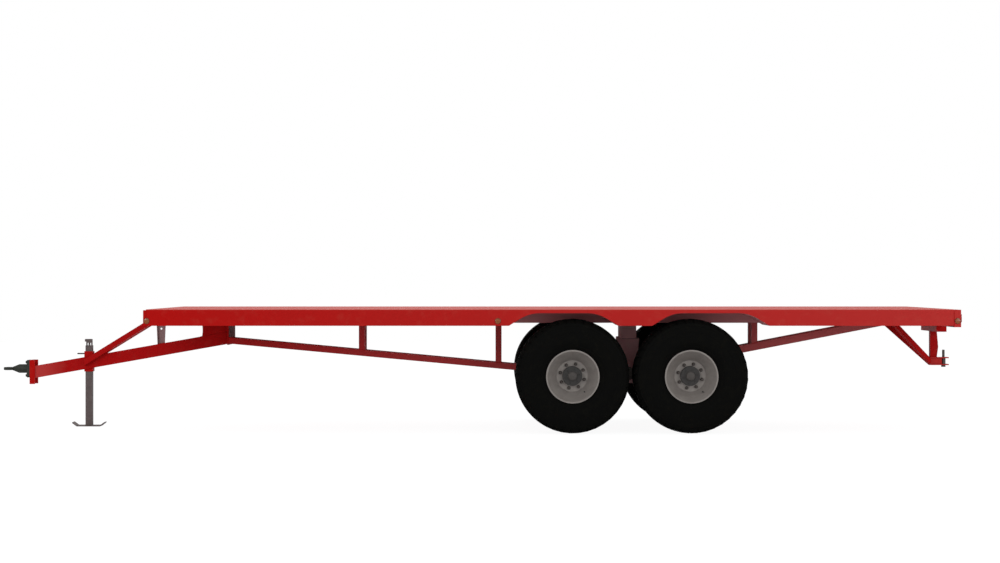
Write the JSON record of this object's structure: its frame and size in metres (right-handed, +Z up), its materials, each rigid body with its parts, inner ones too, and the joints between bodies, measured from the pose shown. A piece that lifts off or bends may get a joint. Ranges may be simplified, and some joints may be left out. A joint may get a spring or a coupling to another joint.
{
  "type": "tandem-axle flat deck farm trailer",
  "caption": "Long flat deck trailer on a tandem rocking bogie with wide flotation tyres, a trussed centre spine, a sloping drawbar with towing eye and a sliding parking stand.",
  "frame": {"origin": "on the floor, midway between the towing eye's tip and the rear hitch's end, and midway between the sides", "axes": "+Z up, +X from the towing eye at the front to the rear, +Y to the trailer's right side"},
  "size_m": [11, 2.524, 1.377],
  "materials": {
    "red_paint": "gloss red chassis paint",
    "dark_red_paint": "dull dark red chassis paint in shade",
    "tread_plate_paint": "worn red paint on tread plate",
    "dark_forging": "near black forged steel",
    "galvanised_steel": "dull galvanised steel",
    "bare_steel": "dark oiled steel",
    "tyre_rubber": "matt black rubber",
    "grey_rim": "silver grey rim paint",
    "hub_iron": "dark painted cast hub",
    "amber_lens": "amber lens",
    "red_lens": "red lamp lens"
  },
  "bodies": {
    "chassis": {"towing_eye": "dark_forging", "eye_flange": "dark_forging", "coupling_channel": "red_paint", "drawbar_beam": "red_paint", "drawbar_end_plate": "red_paint", "drawbar_gussets": "red_paint", "spine_saddle": "red_paint", "deck_uprights": "galvanised_steel", "front_strut_left": "red_paint", "front_strut_right": "red_paint", "stand_collar": "red_paint", "stand_pin": "bare_steel", "top_chord_left": "red_paint", "top_chord_right": "red_paint", "lower_chord_left": "red_paint", "lower_chord_right": "red_paint", "truss_posts": "red_paint", "spine_ties": "red_paint", "cross_members": "red_paint", "deck_floor": "tread_plate_paint", "side_rail_left": "red_paint", "side_rail_right": "red_paint", "arch_strip_left": "red_paint", "arch_strip_right": "red_paint", "front_end_bar": "red_paint", "rear_end_bar": "red_paint", "wheel_arches": "dark_red_paint", "arch_side_sheets": "dark_red_paint", "bogie_cross_beam": "dark_red_paint", "pivot_pedestals": "dark_red_paint", "pivot_carrier": "dark_red_paint", "pivot_shaft": "bare_steel", "rocker_beam_left": "dark_red_paint", "rocker_beam_right": "dark_red_paint", "stub_axles": "bare_steel", "hitch_cross_bar": "red_paint", "hitch_post": "red_paint", "hitch_gusset": "red_paint", "hitch_braces": "red_paint", "hitch_jaw": "red_paint", "hitch_pin": "bare_steel", "side_markers": "amber_lens", "rear_lamps": "red_lens"},
    "wheel_front_left": {"tyre_front_left": "tyre_rubber", "rim_front_left": "grey_rim", "hub_front_left": "hub_iron"},
    "wheel_front_right": {"tyre_front_right": "tyre_rubber", "rim_front_right": "grey_rim", "hub_front_right": "hub_iron"},
    "wheel_rear_left": {"tyre_rear_left": "tyre_rubber", "rim_rear_left": "grey_rim", "hub_rear_left": "hub_iron"},
    "wheel_rear_right": {"tyre_rear_right": "tyre_rubber", "rim_rear_right": "grey_rim", "hub_rear_right": "hub_iron"},
    "stand": {"stand_leg": "galvanised_steel", "stand_foot": "galvanised_steel", "stand_handle": "galvanised_steel"}
  },
  "joints": [
    {"name": "wheel_front_left_spin", "type": "hinge", "parent": "chassis", "child": "wheel_front_left", "pos_m": [1.084, -0.97, 0.634], "axis": [0, 1, 0], "continuous": true},
    {"name": "wheel_front_right_spin", "type": "hinge", "parent": "chassis", "child": "wheel_front_right", "pos_m": [1.084, 0.97, 0.634], "axis": [0, 1, 0], "continuous": true},
    {"name": "wheel_rear_left_spin", "type": "hinge", "parent": "chassis", "child": "wheel_rear_left", "pos_m": [2.394, -0.97, 0.634], "axis": [0, 1, 0], "continuous": true},
    {"name": "wheel_rear_right_spin", "type": "hinge", "parent": "chassis", "child": "wheel_rear_right", "pos_m": [2.394, 0.97, 0.634], "axis": [0, 1, 0], "continuous": true},
    {"name": "stand_slide", "type": "slide", "parent": "chassis", "child": "stand", "axis": [0, 0, 1], "range_m": [0, 0.45]}
  ]
}
